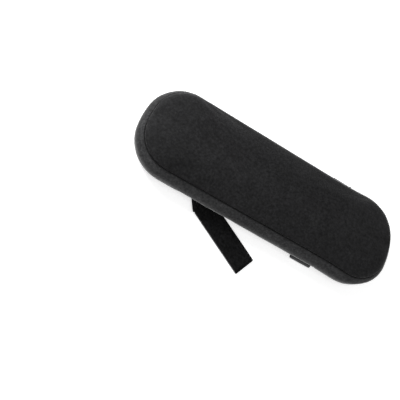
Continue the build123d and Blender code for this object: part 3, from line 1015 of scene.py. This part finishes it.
# hook tape: its length and width, its distance from the strap's tip, the hooks along and across it, how far
# they keep from its edges, and how far they lean
PATCH, PATCH_FROM_TIP = (40.0, 17.0), 2.0
HOOK_ROWS, HOOKS_ACROSS, HOOK_MARGIN, HOOK_LEAN = 30, 13, 0.9, 0.22


def hook_tape(strap):
    """Hook tape on a strap's tip: a thin backing, a little proud of the webbing, with rows of bent hooks."""
    start = strap.middle_length - strap.end_length + PATCH_FROM_TIP
    along, across = strap.direction, strap.sideways
    origin = Vector((*strap.fold, 0))
    corners = ((-1, -1), (1, -1), (1, 1), (-1, 1))
    verts, faces = [], []

    def block(u, v, levels):
        """Stack of rectangles: each level is a height, half sizes along and across, and a lean along."""
        first = len(verts)
        for z, half_u, half_v, lean in levels:
            for su, sv in corners:
                flat = origin + along * (u + lean + su * half_u) + across * (v + sv * half_v)
                verts.append(tuple(flat + Vector((0, 0, z))))
        last = first + 4 * (len(levels) - 1)
        for low in range(first, last, 4):
            for k in range(4):
                n = (k + 1) % 4
                faces.append((low + k, low + n, low + 4 + n, low + 4 + k))
        faces.append(tuple(first + k for k in (3, 2, 1, 0)))
        faces.append(tuple(last + k for k in range(4)))

    half_u, half_v = PATCH[0] / 2, PATCH[1] / 2
    backing = [(0.34, half_u - 0.15, half_v - 0.15, 0), (0.28, half_u, half_v, 0), (0.20, half_u, half_v, 0)]
    block(start + half_u, 0, backing)
    for i in range(HOOK_ROWS):
        u = start + HOOK_MARGIN + (PATCH[0] - 2 * HOOK_MARGIN) * i / (HOOK_ROWS - 1)
        lean = HOOK_LEAN if i % 2 else -HOOK_LEAN
        hook = [(0.22, 0.16, 0.14, 0), (0.10, 0.12, 0.12, 0.3 * lean), (0.03, 0.20, 0.12, lean)]
        for j in range(HOOKS_ACROSS):
            v = -half_v + HOOK_MARGIN + (PATCH[1] - 2 * HOOK_MARGIN) * j / (HOOKS_ACROSS - 1)
            block(u, v, hook)
    side = strap.side
    made = piece(f"{side}_hook_tape", verts, faces, f"{side}_end", [HOOKS], closed=True)
    made.data.shade_flat()
    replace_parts(made, f"{side}_hook_patch")


straps = [Strap(side) for side in STRAPS]
for strap in straps:
    buckle_loop(strap)
    root(strap)
    edge_fold(strap)
    middle_run(strap)
    tip_fold(strap)
    end_run(strap)
for strap in straps:
    hook_tape(strap)

# ---- finishes of the hard CAD parts ----
FINISHES = {
    "left_buckle": PLASTIC,
    "right_buckle": PLASTIC,
    "zip_slider": METAL,
    "zip_pull": METAL,
    "zip_stops": METAL,
}
for name, mat in FINISHES.items():
    nodes[name].data.materials.clear()
    nodes[name].data.materials.append(mat)

# ---- floor and light ----
FLOOR_HALF, FLOOR_Z, FLOOR_GLOW = 3.0, -0.0003, 0.5
floor_mat, tree, shader = graph("floor")
mottle = vary(tree, noise_tex(tree, object_coords(tree), scale=6, detail=2.0), 0.995, 1.0)
tree.links.new(tinted(tree, (0.93, 0.93, 0.93), mottle), shader.inputs["Base Color"])
shader.inputs["Roughness"].default_value = 0.9
shader.inputs["Emission Color"].default_value = (1, 1, 1, 1)
shader.inputs["Emission Strength"].default_value = FLOOR_GLOW
shader.inputs["Specular IOR Level"].default_value = 0.1
mesh = bpy.data.meshes.new("floor")
corners = ((-1, -1), (1, -1), (1, 1), (-1, 1))
mesh.from_pydata([(sx * FLOOR_HALF, sy * FLOOR_HALF, FLOOR_Z) for sx, sy in corners], [], [(0, 1, 2, 3)])
mesh.materials.append(floor_mat)
floor = bpy.data.objects.new("floor", mesh)
scene.collection.objects.link(floor)

# the sky is paler near the horizon: strength there and overhead, and the height of a direction between them
HORIZON, OVERHEAD, PALE_TO, DIM_FROM = 0.80, 0.27, 0.05, 0.25
world = bpy.data.worlds.new("world")
scene.world = world
world.use_nodes = True
tree = world.node_tree
tree.nodes["Background"].inputs["Color"].default_value = (1, 1, 1, 1)
split = node(tree, "ShaderNodeSeparateXYZ")
tree.links.new(node(tree, "ShaderNodeTexCoord").outputs["Generated"], split.inputs[0])
pale_horizon = spread(tree, split.outputs["Z"], PALE_TO, DIM_FROM, HORIZON, OVERHEAD)
tree.links.new(pale_horizon, tree.nodes["Background"].inputs["Strength"])


def area_light(name, place, aim, size, power):
    data = bpy.data.lights.new(name, "AREA")
    data.shape = "DISK"
    data.size = size
    data.energy = power
    light = bpy.data.objects.new(name, data)
    light.location = place
    light.rotation_mode = "QUATERNION"
    light.rotation_quaternion = (Vector(aim) - Vector(place)).to_track_quat("-Z", "Y")
    scene.collection.objects.link(light)


area_light("key", place=(-0.38, 0.20, 0.30), aim=(-0.06, 0, 0), size=0.30, power=2.9)
area_light("overhead", place=(0.00, -0.50, 0.95), aim=(0, 0, 0), size=1.1, power=4.8)
